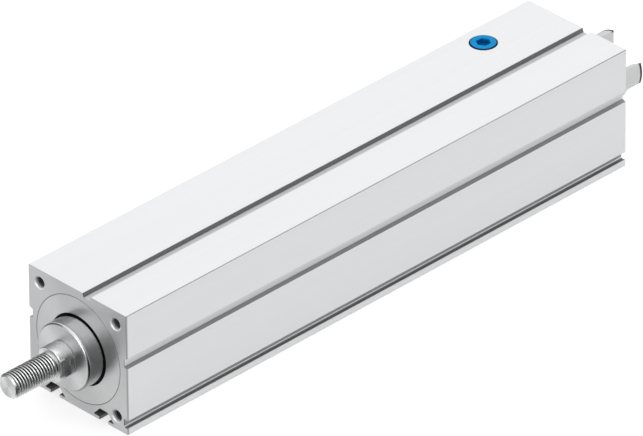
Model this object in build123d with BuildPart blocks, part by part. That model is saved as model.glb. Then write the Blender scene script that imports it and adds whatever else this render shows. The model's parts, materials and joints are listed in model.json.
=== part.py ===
"""Electric cylinder: a ball screw drives a hollow piston rod out of a square extruded housing.

Millimetres. The origin is the centre of the housing's front face, on the rod's axis.
+X runs out of the front along the rod and +Z is up. The rod is shown fully retracted.
"""

import os
from math import cos, radians, sin, sqrt

from build123d import *

# Housing profile
HOUSING_SIZE = 60.0
HOUSING_EDGE_R = 0.5
BORE_R = 22.5
GUIDE_GROOVE_WIDTH = 6.0
GUIDE_GROOVE_DEPTH = 2.7
GUIDE_GROOVE_ANGLE = 45.0
GUIDE_GROOVE_COUNT = 2

# Two T-slots in the underside
T_SLOT_SPACING = 30.0
T_SLOT_MOUTH = 5.4
T_SLOT_LIP = 1.5
T_SLOT_WIDE = 11.9
T_SLOT_SIDE = 0.4
T_SLOT_ROOF = 4.8
T_SLOT_DEPTH = 5.8

# Shallow sensor groove in the top and in both sides
SENSOR_GROOVE_OFFSET = 5.9
SENSOR_GROOVE_MOUTH = 5.3
SENSOR_GROOVE_FLOOR = 3.8
SENSOR_GROOVE_DEPTH = 2.0

# Hooked clamping groove low on both sides
HOOK_GROOVE_HEIGHT = 3.3
HOOK_GROOVE_MOUTH = 3.9
HOOK_GROOVE_DEPTH = 2.5
HOOK_GROOVE_VALLEY_DEPTH = 1.7
HOOK_GROOVE_LIP_RISE = 0.35
HOOK_GROOVE_UNDERCUT = 0.25

# Tapped holes in both ends: M6 in front, M5 for the motor housing behind
END_SCREW_SPACING = 46.5
SCREW_MOUTH_ANGLE = 120.0
FRONT_SCREW_CORE_R = 2.5
FRONT_SCREW_MOUTH_R = 3.3
FRONT_SCREW_DEPTH = 18.0
REAR_SCREW_CORE_R = 2.1
REAR_SCREW_MOUTH_R = 2.5
REAR_SCREW_DEPTH = 15.0

# Clearances
SEAT_GAP = 0.02
RUNNING_GAP = 0.05
BALL_GAP = 0.04
END_RESERVE = 1.0

# Drive: stroke and screw part of the ball screw
STROKE = 150.0
SPINDLE_R = 6.0

# Front cap with its bush, wiper and O-ring
CAP_R = 25.7
FRONT_CAP_LENGTH = 38.0
CAP_EDGE_CHAMFER = 0.15
WIPER_WALL = 1.0
WIPER_MOUTH_DEPTH = 1.2
WIPER_BODY_WALL = 3.4
WIPER_BODY_LENGTH = 4.5
WIPER_LIP_RECESS = 0.15
WIPER_LIP_WAIST = 1.0
BUSH_WALL = 2.0
BUSH_LENGTH = 27.0
CAP_BORE_GAP = 0.4
O_RING_SECTION_R = 0.9
O_RING_GROOVE_WIDTH = 2.4
O_RING_BACK_SET = 7.0
SNAP_WIRE_SIZE = 1.3
SNAP_RING_BACK_SET = 15.0
SNAP_RING_GAP_ANGLE = 24.0

# Rubber end stops
BUFFER_LENGTH = 5.0
BUFFER_WALL = 4.5

# Piston rod and its threaded end: M12 x 1.5
ROD_R = 16.0
ROD_BORE_R = 10.25
ROD_PROUD = 9.0
ROD_NOSE_RADIUS = 1.0
ROD_NOSE_WALL = 16.5
STUD_R = 6.0
STUD_LENGTH = 24.5
STUD_TIP_CHAMFER = 1.1
STUD_NECK_R = 5.2
STUD_NECK_LENGTH = 0.8
SPANNER_R = 8.1
SPANNER_LENGTH = 8.0
SPANNER_FLAT_LENGTH = 6.6
SPANNER_ACROSS_FLATS = 12.8
SPANNER_CHAMFER = 0.3
SHANK_R = 5.0
SHANK_LENGTH = 13.0

# Piston with ball nut, magnet, guide bands and anti-twist shoes
PISTON_LENGTH = 72.0
PISTON_R = 21.8
ROD_SOCKET_DEPTH = 22.0
NUT_R = 13.0
NUT_LENGTH = 40.0
NUT_STOP_WALL = 4.0
NUT_BORE_GAP = 0.3
LOCK_RING_R = 17.0
LOCK_RING_LENGTH = 6.0
LOCK_RING_SLOT_WIDTH = 3.0
LOCK_RING_SLOT_DEPTH = 2.0
BAND_WIDTH = 8.0
BAND_THICKNESS = 1.6
BAND_SET_BACK = 4.0
MAGNET_WIDTH = 6.0
MAGNET_THICKNESS = 2.6
SHOE_LENGTH = 24.0
SHOE_SEAT_DEPTH = 2.0
RETURN_INSERT_WIDTH = 5.0
RETURN_INSERT_LENGTH = 11.0
RETURN_INSERT_SPACING = 14.0
RETURN_INSERT_TILT = 18.0
RETURN_INSERT_TOP_R = 11.5

# Drive cover and fixed bearing pair
DRIVE_COVER_LENGTH = 33.0
CENTRING_R = 20.0
CENTRING_DEPTH = 3.0
BEARING_R = 15.0
BEARING_WIDTH = 9.0
BEARING_COUNT = 2
BEARING_RING_WALL = 3.3
BEARING_BORE_R = 5.0
BEARING_FRONT_LIP = 3.0
COVER_COLLAR_GAP = 1.5
RETAINER_R = 17.0
RETAINER_BORE_R = 9.6
RETAINER_LENGTH = 6.0
RETAINER_PIN_HOLE_R = 1.2
RETAINER_PIN_CIRCLE_R = 13.4
RETAINER_PIN_DEPTH = 3.0
LOCK_NUT_R = 9.0
LOCK_NUT_LENGTH = 5.0
LOCK_NUT_SLOT_WIDTH = 3.0
LOCK_NUT_SLOT_DEPTH = 1.6
BALL_COUNT = 9
BALL_R = 2.2
CAGE_WIDTH = 6.4
CAGE_THICKNESS = 1.6

# Spindle journals
SPINDLE_COLLAR_R = 7.5
SPINDLE_COLLAR_LENGTH = 3.0
DRIVE_JOURNAL_R = 4.0
SUPPORT_JOURNAL_R = 4.0
SUPPORT_BUSH_LENGTH = 10.0
SUPPORT_RING_THICKNESS = 1.0
SUPPORT_RING_R = 6.0
SUPPORT_RING_GROOVE_R = 3.2
SPINDLE_TIP_CLEARANCE = 22.0

# Coupling half with three claws, on the drive journal
HUB_R = 15.0
HUB_FACE_GAP = 1.5
HUB_BASE_LENGTH = 16.0
HUB_EDGE_CHAMFER = 0.6
CLAW_LENGTH = 8.5
CLAW_COUNT = 3
CLAW_HALF_ANGLE = 20.0
CLAW_FLANK_ANGLE = 30.0
CLAW_INNER_R = 8.6
PAD_LENGTH = 1.2
PAD_DEPTH = 0.8
HUB_SLIT_WIDTH = 1.2
HUB_SLIT_LENGTH = 10.0
CLAMP_SCREW_R = 1.5
CLAMP_SCREW_HEAD_R = 2.75
CLAMP_SCREW_HEAD_LENGTH = 3.0
CLAMP_SCREW_LENGTH = 12.0
CLAMP_SCREW_OFFSET = 9.0
CLAMP_SCREW_SOCKET_AF = 2.5
CLAMP_SCREW_SOCKET_DEPTH = 1.5

# Screw plug of the lubrication port in the top face
PORT_FROM_REAR = 39.8
PORT_FROM_SIDE = 11.2
PORT_R = 4.3
PORT_DEPTH = 19.0
PORT_SPOTFACE_R = 6.5
PORT_SPOTFACE_DEPTH = 1.5
PLUG_HEAD_R = 6.2
PLUG_HEAD_CHAMFER = 0.5
PLUG_PROUD = 0.4
PLUG_SHANK_LENGTH = 7.0
PLUG_SOCKET_AF = 6.0
PLUG_SOCKET_DEPTH = 2.4
PLUG_SEAL_THICKNESS = 0.5

# Stations along the axis, from the front face backwards
HALF = HOUSING_SIZE / 2
FRONT_BUFFER_X = -FRONT_CAP_LENGTH
PISTON_FRONT_X = FRONT_BUFFER_X - BUFFER_LENGTH - END_RESERVE - STROKE
PISTON_REAR_X = PISTON_FRONT_X - PISTON_LENGTH
DRIVE_COVER_X = PISTON_REAR_X - END_RESERVE - BUFFER_LENGTH
REAR_X = DRIVE_COVER_X - DRIVE_COVER_LENGTH
PORT_X = REAR_X + PORT_FROM_REAR
PORT_Y = PORT_FROM_SIDE - HALF

os.makedirs("parts", exist_ok=True)


def turned(points):
    """Half section of a turned piece: (x, radius) points, closed, for a revolve about X."""
    with BuildSketch(Plane.XZ) as section:
        with BuildLine():
            Polyline(*points, close=True)
        make_face()
    return section.sketch


def ring(x_front, x_rear, inner_r, outer_r):
    """Half section of a plain ring or sleeve between two stations."""
    return turned([(x_front, inner_r), (x_front, outer_r), (x_rear, outer_r), (x_rear, inner_r)])


def cross_plane(x):
    """Plane across the axis at a station, facing forwards: local x is Y and local y is Z."""
    return Plane.YZ.offset(x)


def rear_plane(x):
    """Plane across the axis at a station, facing backwards."""
    return Plane(origin=(x, 0, 0), x_dir=(0, 1, 0), z_dir=(-1, 0, 0))


def save(piece, name):
    """Label a finished piece and write it as its own file."""
    piece.part.label = name
    export_step(piece.part, f"parts/{name}.step")


# Housing: one extrusion with a round bore, slots and grooves along its whole length
with BuildSketch() as t_slot_section:
    with BuildLine():
        Polyline(
            (-T_SLOT_MOUTH / 2, -T_SLOT_LIP),
            (-T_SLOT_MOUTH / 2, T_SLOT_LIP),
            (-T_SLOT_WIDE / 2, T_SLOT_LIP),
            (-T_SLOT_WIDE / 2, T_SLOT_LIP + T_SLOT_SIDE),
            (-T_SLOT_ROOF / 2, T_SLOT_DEPTH),
            (T_SLOT_ROOF / 2, T_SLOT_DEPTH),
            (T_SLOT_WIDE / 2, T_SLOT_LIP + T_SLOT_SIDE),
            (T_SLOT_WIDE / 2, T_SLOT_LIP),
            (T_SLOT_MOUTH / 2, T_SLOT_LIP),
            (T_SLOT_MOUTH / 2, -T_SLOT_LIP),
            close=True,
        )
    make_face()

with BuildSketch() as sensor_groove_section:
    with BuildLine():
        Polyline(
            (-SENSOR_GROOVE_MOUTH / 2, SENSOR_GROOVE_DEPTH),
            (-SENSOR_GROOVE_MOUTH / 2, 0),
            (-SENSOR_GROOVE_FLOOR / 2, -SENSOR_GROOVE_DEPTH),
            (SENSOR_GROOVE_FLOOR / 2, -SENSOR_GROOVE_DEPTH),
            (SENSOR_GROOVE_MOUTH / 2, 0),
            (SENSOR_GROOVE_MOUTH / 2, SENSOR_GROOVE_DEPTH),
            close=True,
        )
    make_face()

with BuildSketch() as hook_groove_section:
    with BuildLine():
        Polyline(
            (HOOK_GROOVE_DEPTH, 0),
            (0, 0),
            (-HOOK_GROOVE_VALLEY_DEPTH, -HOOK_GROOVE_LIP_RISE),
            (-HOOK_GROOVE_DEPTH, HOOK_GROOVE_LIP_RISE),
            (-HOOK_GROOVE_DEPTH, HOOK_GROOVE_MOUTH + HOOK_GROOVE_UNDERCUT),
            (0, HOOK_GROOVE_MOUTH),
            (HOOK_GROOVE_DEPTH, HOOK_GROOVE_MOUTH),
            close=True,
        )
    make_face()

with BuildPart() as profile_housing:
    with BuildSketch(Plane.YZ):
        RectangleRounded(HOUSING_SIZE, HOUSING_SIZE, HOUSING_EDGE_R)
        Circle(BORE_R, mode=Mode.SUBTRACT)
        with PolarLocations(BORE_R, GUIDE_GROOVE_COUNT, start_angle=GUIDE_GROOVE_ANGLE):
            Rectangle(2 * GUIDE_GROOVE_DEPTH, GUIDE_GROOVE_WIDTH, mode=Mode.SUBTRACT)
        for side in (-1, 1):
            with Locations((side * T_SLOT_SPACING / 2, -HALF)):
                add(t_slot_section.sketch, mode=Mode.SUBTRACT)
        with Locations((SENSOR_GROOVE_OFFSET, HALF)):
            add(sensor_groove_section.sketch, mode=Mode.SUBTRACT)
        with Locations(Location((HALF, SENSOR_GROOVE_OFFSET), -90), Location((-HALF, SENSOR_GROOVE_OFFSET), 90)):
            add(sensor_groove_section.sketch, mode=Mode.SUBTRACT)
        with Locations((HALF, HOOK_GROOVE_HEIGHT - HALF)):
            add(hook_groove_section.sketch, mode=Mode.SUBTRACT)
        with Locations((-HALF, HOOK_GROOVE_HEIGHT - HALF)):
            add(mirror(hook_groove_section.sketch, about=Plane.YZ, mode=Mode.PRIVATE), mode=Mode.SUBTRACT)
    extrude(amount=REAR_X)
    # Seats of the two caps, with the grooves of their snap rings
    for face_x, seat_length, ring_sign in ((0, FRONT_CAP_LENGTH, -1), (REAR_X, DRIVE_COVER_LENGTH, 1)):
        with BuildSketch(cross_plane(face_x)):
            Circle(CAP_R)
        extrude(amount=ring_sign * seat_length, mode=Mode.SUBTRACT)
        with BuildSketch(cross_plane(face_x + ring_sign * SNAP_RING_BACK_SET)):
            Circle(CAP_R + SNAP_WIRE_SIZE / 2 + SEAT_GAP)
        extrude(amount=SNAP_WIRE_SIZE / 2 + SEAT_GAP, both=True, mode=Mode.SUBTRACT)
    # Tapped holes in both ends
    with Locations(cross_plane(0)):
        with GridLocations(END_SCREW_SPACING, END_SCREW_SPACING, 2, 2):
            CounterSinkHole(FRONT_SCREW_CORE_R, FRONT_SCREW_MOUTH_R, FRONT_SCREW_DEPTH, SCREW_MOUTH_ANGLE)
    with Locations(rear_plane(REAR_X)):
        with GridLocations(END_SCREW_SPACING, END_SCREW_SPACING, 2, 2):
            CounterSinkHole(REAR_SCREW_CORE_R, REAR_SCREW_MOUTH_R, REAR_SCREW_DEPTH, SCREW_MOUTH_ANGLE)
    # Lubrication port
    with Locations((PORT_X, PORT_Y, HALF)):
        CounterBoreHole(PORT_R, PORT_SPOTFACE_R, PORT_SPOTFACE_DEPTH, PORT_DEPTH)
save(profile_housing, "profile_housing")

# Front cap: closes the housing, holds the bush, the wiper and the O-ring
CAP_OUTER_R = CAP_R - SEAT_GAP
CAP_BORE_R = ROD_R + CAP_BORE_GAP
WIPER_MOUTH_R = ROD_R + WIPER_WALL
WIPER_BODY_R = ROD_R + WIPER_BODY_WALL
WIPER_REAR_X = -WIPER_MOUTH_DEPTH - WIPER_BODY_LENGTH
BUSH_FRONT_X = -FRONT_CAP_LENGTH + BUSH_LENGTH
BUSH_SEAT_R = ROD_R + BUSH_WALL
O_RING_X = -O_RING_BACK_SET
O_RING_FLOOR_R = CAP_R - 2 * O_RING_SECTION_R - 2 * SEAT_GAP
SNAP_GROOVE_HALF = SNAP_WIRE_SIZE / 2 + SEAT_GAP

with BuildPart() as front_cap:
    revolve(
        turned([
            (0, WIPER_MOUTH_R),
            (0, CAP_OUTER_R - CAP_EDGE_CHAMFER),
            (-CAP_EDGE_CHAMFER, CAP_OUTER_R),
            (-FRONT_CAP_LENGTH, CAP_OUTER_R),
            (-FRONT_CAP_LENGTH, BUSH_SEAT_R),
            (BUSH_FRONT_X, BUSH_SEAT_R),
            (BUSH_FRONT_X, CAP_BORE_R),
            (WIPER_REAR_X, CAP_BORE_R),
            (WIPER_REAR_X, WIPER_BODY_R),
            (-WIPER_MOUTH_DEPTH, WIPER_BODY_R),
            (-WIPER_MOUTH_DEPTH, WIPER_MOUTH_R),
        ]),
        axis=Axis.X,
    )
    for groove_x, groove_half, floor_r in (
        (O_RING_X, O_RING_GROOVE_WIDTH / 2, O_RING_FLOOR_R),
        (-SNAP_RING_BACK_SET, SNAP_GROOVE_HALF, CAP_R - SNAP_GROOVE_HALF),
    ):
        revolve(ring(groove_x + groove_half, groove_x - groove_half, floor_r, CAP_R), axis=Axis.X, mode=Mode.SUBTRACT)
save(front_cap, "front_cap")

with BuildPart() as rod_guide_bush:
    revolve(
        ring(BUSH_FRONT_X - SEAT_GAP, -FRONT_CAP_LENGTH, ROD_R + RUNNING_GAP, BUSH_SEAT_R - SEAT_GAP),
        axis=Axis.X,
    )
save(rod_guide_bush, "rod_guide_bush")

# Wiper: a rubber ring whose thin front lip fills the mouth of the cap and strokes the rod
with BuildPart() as wiper_seal:
    revolve(
        turned([
            (WIPER_REAR_X + SEAT_GAP, WIPER_BODY_R - SEAT_GAP),
            (-WIPER_MOUTH_DEPTH - SEAT_GAP, WIPER_BODY_R - SEAT_GAP),
            (-WIPER_MOUTH_DEPTH - SEAT_GAP, WIPER_MOUTH_R - SEAT_GAP),
            (-WIPER_LIP_RECESS, WIPER_MOUTH_R - SEAT_GAP),
            (-WIPER_LIP_RECESS, ROD_R + RUNNING_GAP),
            (-WIPER_MOUTH_DEPTH, ROD_R + RUNNING_GAP),
            (-WIPER_MOUTH_DEPTH - WIPER_LIP_WAIST, CAP_BORE_R),
            (WIPER_REAR_X + WIPER_LIP_WAIST, CAP_BORE_R),
            (WIPER_REAR_X + SEAT_GAP, ROD_R + RUNNING_GAP),
        ]),
        axis=Axis.X,
    )
save(wiper_seal, "wiper_seal")

# The O-ring is squeezed between its groove and the housing, so its section is six-sided
with BuildPart() as cap_o_ring:
    with BuildSketch(Plane.XZ):
        with Locations((O_RING_X, CAP_R - SEAT_GAP - O_RING_SECTION_R)):
            RegularPolygon(O_RING_SECTION_R, 6, major_radius=False)
    revolve(axis=Axis.X)
save(cap_o_ring, "cap_o_ring")

# Split rings of square wire, half in the housing and half in the cap, lock both caps
for cap_name, cap_ring_x in (("front", -SNAP_RING_BACK_SET), ("rear", REAR_X + SNAP_RING_BACK_SET)):
    with BuildPart() as snap_ring:
        with BuildSketch(Plane.XZ):
            with Locations((cap_ring_x, CAP_R)):
                Rectangle(SNAP_WIRE_SIZE, SNAP_WIRE_SIZE)
        revolve(axis=Axis.X, revolution_arc=360 - SNAP_RING_GAP_ANGLE)
    save(snap_ring, f"{cap_name}_snap_ring")

# Rubber end stops at both ends of the bore
BUFFER_OUTER_R = BORE_R - RUNNING_GAP
BUFFER_INNER_R = BORE_R - BUFFER_WALL
for stop_name, stop_x in (("front", FRONT_BUFFER_X), ("rear", DRIVE_COVER_X + BUFFER_LENGTH)):
    with BuildPart() as buffer:
        revolve(ring(stop_x, stop_x - BUFFER_LENGTH, BUFFER_INNER_R, BUFFER_OUTER_R), axis=Axis.X)
    save(buffer, f"{stop_name}_buffer")

# Drive cover: closes the rear, carries the fixed bearings and centres the motor housing
BEARING_FRONT_X = DRIVE_COVER_X - BEARING_FRONT_LIP
BEARING_REAR_X = BEARING_FRONT_X - BEARING_COUNT * BEARING_WIDTH
RETAINER_REAR_X = BEARING_REAR_X - RETAINER_LENGTH
CENTRING_X = REAR_X + CENTRING_DEPTH

with BuildPart() as drive_cover:
    revolve(
        turned([
            (DRIVE_COVER_X, SPINDLE_COLLAR_R + COVER_COLLAR_GAP),
            (DRIVE_COVER_X, CAP_OUTER_R),
            (REAR_X + CAP_EDGE_CHAMFER, CAP_OUTER_R),
            (REAR_X, CAP_OUTER_R - CAP_EDGE_CHAMFER),
            (REAR_X, CENTRING_R),
            (CENTRING_X, CENTRING_R),
            (CENTRING_X, RETAINER_R),
            (BEARING_REAR_X, RETAINER_R),
            (BEARING_REAR_X, BEARING_R),
            (BEARING_FRONT_X, BEARING_R),
            (BEARING_FRONT_X, SPINDLE_COLLAR_R + COVER_COLLAR_GAP),
        ]),
        axis=Axis.X,
    )
    rear_ring_x = REAR_X + SNAP_RING_BACK_SET
    revolve(
        ring(rear_ring_x + SNAP_GROOVE_HALF, rear_ring_x - SNAP_GROOVE_HALF, CAP_R - SNAP_GROOVE_HALF, CAP_R),
        axis=Axis.X,
        mode=Mode.SUBTRACT,
    )
save(drive_cover, "drive_cover")

with BuildPart() as bearing_retainer:
    revolve(
        ring(BEARING_REAR_X - SEAT_GAP, RETAINER_REAR_X, RETAINER_BORE_R, RETAINER_R - SEAT_GAP),
        axis=Axis.X,
    )
    with Locations(rear_plane(RETAINER_REAR_X)):
        with PolarLocations(RETAINER_PIN_CIRCLE_R, 2):
            Hole(RETAINER_PIN_HOLE_R, RETAINER_PIN_DEPTH)
save(bearing_retainer, "bearing_retainer")

# Fixed bearings: two rows, each an outer ring, an inner ring, balls and a cage
BALL_PITCH_R = (BEARING_R + BEARING_BORE_R) / 2
TRACK_R = BALL_R + BALL_GAP
TRACK_HALF = sqrt(TRACK_R**2 - (BEARING_R - BEARING_RING_WALL - BALL_PITCH_R) ** 2)
ROW_X = [BEARING_FRONT_X - (row + 0.5) * BEARING_WIDTH for row in range(BEARING_COUNT)]


def bearing_ring(x, seat_r, track_side_r, floor_r):
    """Half section of a bearing ring: its seat, and a shallow track that the balls run in."""
    half = BEARING_WIDTH / 2 - SEAT_GAP
    return turned([
        (x + half, seat_r),
        (x + half, track_side_r),
        (x + TRACK_HALF, track_side_r),
        (x + TRACK_HALF, floor_r),
        (x - TRACK_HALF, floor_r),
        (x - TRACK_HALF, track_side_r),
        (x - half, track_side_r),
        (x - half, seat_r),
    ])


with BuildPart() as bearing_outer_rings:
    for x in ROW_X:
        revolve(
            bearing_ring(x, BEARING_R - SEAT_GAP, BEARING_R - BEARING_RING_WALL, BALL_PITCH_R + TRACK_R),
            axis=Axis.X,
        )
save(bearing_outer_rings, "bearing_outer_rings")

with BuildPart() as bearing_inner_rings:
    for x in ROW_X:
        revolve(
            bearing_ring(
                x,
                BEARING_BORE_R + SEAT_GAP,
                BEARING_BORE_R + BEARING_RING_WALL,
                BALL_PITCH_R - TRACK_R,
            ),
            axis=Axis.X,
        )
save(bearing_inner_rings, "bearing_inner_rings")

# Each ball is a cube cut back on every edge to 26 flats that touch the true ball
with BuildPart() as one_ball:
    Box(2 * BALL_R, 2 * BALL_R, 2 * BALL_R)
    chamfer(one_ball.edges(), BALL_R * (2 - sqrt(2)))

with BuildPart() as bearing_balls:
    for x in ROW_X:
        with Locations(cross_plane(x)):
            with PolarLocations(BALL_PITCH_R, BALL_COUNT):
                add(one_ball.part)
save(bearing_balls, "bearing_balls")

with BuildPart() as bearing_cages:
    for x in ROW_X:
        revolve(
            ring(
                x + CAGE_WIDTH / 2,
                x - CAGE_WIDTH / 2,
                BALL_PITCH_R - CAGE_THICKNESS / 2,
                BALL_PITCH_R + CAGE_THICKNESS / 2,
            ),
            axis=Axis.X,
        )
        with Locations(cross_plane(x)):
            with PolarLocations(BALL_PITCH_R, BALL_COUNT):
                Box(2 * CAGE_THICKNESS, 2 * TRACK_R, 2 * TRACK_R, mode=Mode.SUBTRACT)
save(bearing_cages, "bearing_cages")

# Spindle: screw part, collar against the bearings, thread of the lock nut, drive journal, support journal
SPINDLE_TIP_X = ROD_PROUD - ROD_NOSE_WALL - SPINDLE_TIP_CLEARANCE
SUPPORT_RING_X = SPINDLE_TIP_X - SUPPORT_RING_THICKNESS
SUPPORT_BUSH_FRONT_X = SUPPORT_RING_X - SUPPORT_RING_THICKNESS - SEAT_GAP
SUPPORT_BUSH_REAR_X = SUPPORT_BUSH_FRONT_X - SUPPORT_BUSH_LENGTH
SCREW_FRONT_X = SUPPORT_BUSH_REAR_X - SEAT_GAP
SCREW_REAR_X = BEARING_FRONT_X + SPINDLE_COLLAR_LENGTH
LOCK_NUT_REAR_X = BEARING_REAR_X - LOCK_NUT_LENGTH
HUB_FRONT_X = REAR_X - HUB_FACE_GAP
HUB_BASE_X = HUB_FRONT_X - HUB_BASE_LENGTH

with BuildPart() as spindle:
    revolve(
        turned([
            (SPINDLE_TIP_X, 0),
            (SPINDLE_TIP_X, SUPPORT_JOURNAL_R),
            (SUPPORT_RING_X + SEAT_GAP, SUPPORT_JOURNAL_R),
            (SUPPORT_RING_X + SEAT_GAP, SUPPORT_RING_GROOVE_R),
            (SUPPORT_RING_X - SUPPORT_RING_THICKNESS - SEAT_GAP, SUPPORT_RING_GROOVE_R),
            (SUPPORT_RING_X - SUPPORT_RING_THICKNESS - SEAT_GAP, SUPPORT_JOURNAL_R),
            (SCREW_FRONT_X, SUPPORT_JOURNAL_R),
            (SCREW_FRONT_X, SPINDLE_R),
            (SCREW_REAR_X, SPINDLE_R),
            (SCREW_REAR_X, SPINDLE_COLLAR_R),
            (BEARING_FRONT_X, SPINDLE_COLLAR_R),
            (BEARING_FRONT_X, BEARING_BORE_R),
            (LOCK_NUT_REAR_X, BEARING_BORE_R),
            (LOCK_NUT_REAR_X, DRIVE_JOURNAL_R),
            (HUB_BASE_X, DRIVE_JOURNAL_R),
            (HUB_BASE_X, 0),
        ]),
        axis=Axis.X,
    )
save(spindle, "spindle")

with BuildPart() as bearing_lock_nut:
    revolve(
        ring(BEARING_REAR_X - SEAT_GAP, LOCK_NUT_REAR_X, BEARING_BORE_R + SEAT_GAP, LOCK_NUT_R),
        axis=Axis.X,
    )
    with Locations(cross_plane((BEARING_REAR_X + LOCK_NUT_REAR_X) / 2)):
        with PolarLocations(LOCK_NUT_R, 4, start_angle=45):
            Box(2 * LOCK_NUT_SLOT_DEPTH, LOCK_NUT_SLOT_WIDTH, 2 * LOCK_NUT_LENGTH, mode=Mode.SUBTRACT)
save(bearing_lock_nut, "bearing_lock_nut")

# Support bush on the free end of the spindle: it slides in the bore of the rod
with BuildPart() as spindle_support_bush:
    revolve(
        ring(
            SUPPORT_BUSH_FRONT_X,
            SUPPORT_BUSH_REAR_X,
            SUPPORT_JOURNAL_R + SEAT_GAP,
            ROD_BORE_R - RUNNING_GAP,
        ),
        axis=Axis.X,
    )
save(spindle_support_bush, "spindle_support_bush")

with BuildPart() as support_retaining_ring:
    with BuildSketch(cross_plane(SUPPORT_RING_X)):
        Circle(SUPPORT_RING_R)
        Circle(SUPPORT_RING_GROOVE_R + SEAT_GAP, mode=Mode.SUBTRACT)
        with Locations((-SUPPORT_RING_R, 0)):
            Rectangle(2 * SUPPORT_RING_R, SUPPORT_RING_GROOVE_R, mode=Mode.SUBTRACT)
    extrude(amount=-SUPPORT_RING_THICKNESS)
save(support_retaining_ring, "support_retaining_ring")

# Coupling half: a clamping hub with three claws, each with a dark pad let into the rim of its tip
CLAW_TIP_X = HUB_BASE_X - CLAW_LENGTH
CLAW_CORNER = (HUB_R * cos(radians(CLAW_HALF_ANGLE)), HUB_R * sin(radians(CLAW_HALF_ANGLE)))
CLAW_FLANK_RUN = 2 * HUB_R
CLAW_APEX = CLAW_CORNER[0] - CLAW_CORNER[1] * cos(radians(CLAW_FLANK_ANGLE)) / sin(radians(CLAW_FLANK_ANGLE))
CLAW_FAR = (
    CLAW_APEX + CLAW_FLANK_RUN * cos(radians(CLAW_FLANK_ANGLE)),
    CLAW_FLANK_RUN * sin(radians(CLAW_FLANK_ANGLE)),
)
CLAMP_SCREW_X = HUB_FRONT_X - HUB_SLIT_LENGTH / 2
CLAMP_SCREW_SEAT_Z = CLAMP_SCREW_LENGTH / 2 - CLAMP_SCREW_HEAD_LENGTH / 2

with BuildSketch() as claw_section:
    Circle(HUB_R)
    Circle(CLAW_INNER_R, mode=Mode.SUBTRACT)
    with BuildLine():
        Polyline((CLAW_APEX, 0), CLAW_FAR, (CLAW_FAR[0], -CLAW_FAR[1]), close=True)
    make_face(mode=Mode.INTERSECT)

with BuildPart() as coupling_hub:
    revolve(
        turned([
            (HUB_FRONT_X, DRIVE_JOURNAL_R + SEAT_GAP),
            (HUB_FRONT_X, HUB_R - HUB_EDGE_CHAMFER),
            (HUB_FRONT_X - HUB_EDGE_CHAMFER, HUB_R),
            (HUB_BASE_X, HUB_R),
            (HUB_BASE_X, DRIVE_JOURNAL_R + SEAT_GAP),
        ]),
        axis=Axis.X,
    )
    with BuildSketch(cross_plane(HUB_BASE_X)):
        with PolarLocations(0, CLAW_COUNT):
            add(claw_section.sketch)
    extrude(amount=-CLAW_LENGTH)
    revolve(
        ring(CLAW_TIP_X + PAD_LENGTH, CLAW_TIP_X, HUB_R - PAD_DEPTH, HUB_R + PAD_DEPTH),
        axis=Axis.X,
        mode=Mode.SUBTRACT,
    )
    # Clamping slit on the far side, crossed by the screw's hole and head pocket
    with Locations((HUB_FRONT_X - HUB_SLIT_LENGTH / 2, -HUB_R, 0)):
        Box(HUB_SLIT_LENGTH, 2 * HUB_R, HUB_SLIT_WIDTH, mode=Mode.SUBTRACT)
    with Locations(Plane.XY.offset(CLAMP_SCREW_SEAT_Z)):
        with Locations((CLAMP_SCREW_X, -CLAMP_SCREW_OFFSET)):
            Cylinder(
                CLAMP_SCREW_HEAD_R + SEAT_GAP,
                HUB_R,
                align=(Align.CENTER, Align.CENTER, Align.MIN),
                mode=Mode.SUBTRACT,
            )
            Cylinder(
                CLAMP_SCREW_R + SEAT_GAP,
                CLAMP_SCREW_LENGTH + SEAT_GAP,
                align=(Align.CENTER, Align.CENTER, Align.MAX),
                mode=Mode.SUBTRACT,
            )
save(coupling_hub, "coupling_hub")

with BuildPart() as claw_pads:
    with BuildSketch(cross_plane(CLAW_TIP_X)):
        with PolarLocations(0, CLAW_COUNT):
            add(claw_section.sketch)
        Circle(HUB_R - PAD_DEPTH + SEAT_GAP, mode=Mode.SUBTRACT)
    extrude(amount=PAD_LENGTH - SEAT_GAP)
save(claw_pads, "claw_pads")

with BuildPart() as hub_clamp_screw:
    with Locations((CLAMP_SCREW_X, -CLAMP_SCREW_OFFSET, CLAMP_SCREW_SEAT_Z)):
        Cylinder(CLAMP_SCREW_HEAD_R, CLAMP_SCREW_HEAD_LENGTH, align=(Align.CENTER, Align.CENTER, Align.MIN))
        Cylinder(CLAMP_SCREW_R, CLAMP_SCREW_LENGTH, align=(Align.CENTER, Align.CENTER, Align.MAX))
    with BuildSketch(Plane.XY.offset(CLAMP_SCREW_SEAT_Z + CLAMP_SCREW_HEAD_LENGTH)):
        with Locations((CLAMP_SCREW_X, -CLAMP_SCREW_OFFSET)):
            RegularPolygon(CLAMP_SCREW_SOCKET_AF / 2, 6, major_radius=False)
    extrude(amount=-CLAMP_SCREW_SOCKET_DEPTH, mode=Mode.SUBTRACT)
save(hub_clamp_screw, "hub_clamp_screw")

# Piston rod: a tube with a closed nose that takes the shank of the rod end
ROD_REAR_X = PISTON_FRONT_X - ROD_SOCKET_DEPTH
ROD_NOSE_X = ROD_PROUD - ROD_NOSE_WALL

with BuildPart() as piston_rod:
    revolve(
        turned([
            (ROD_PROUD, SHANK_R + SEAT_GAP),
            (ROD_PROUD, ROD_R),
            (ROD_REAR_X, ROD_R),
            (ROD_REAR_X, ROD_BORE_R),
            (ROD_NOSE_X, ROD_BORE_R),
            (ROD_NOSE_X, SHANK_R + SEAT_GAP),
        ]),
        axis=Axis.X,
    )
    fillet(piston_rod.faces().sort_by(Axis.X)[-1].outer_wire().edges(), ROD_NOSE_RADIUS)
save(piston_rod, "piston_rod")

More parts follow.
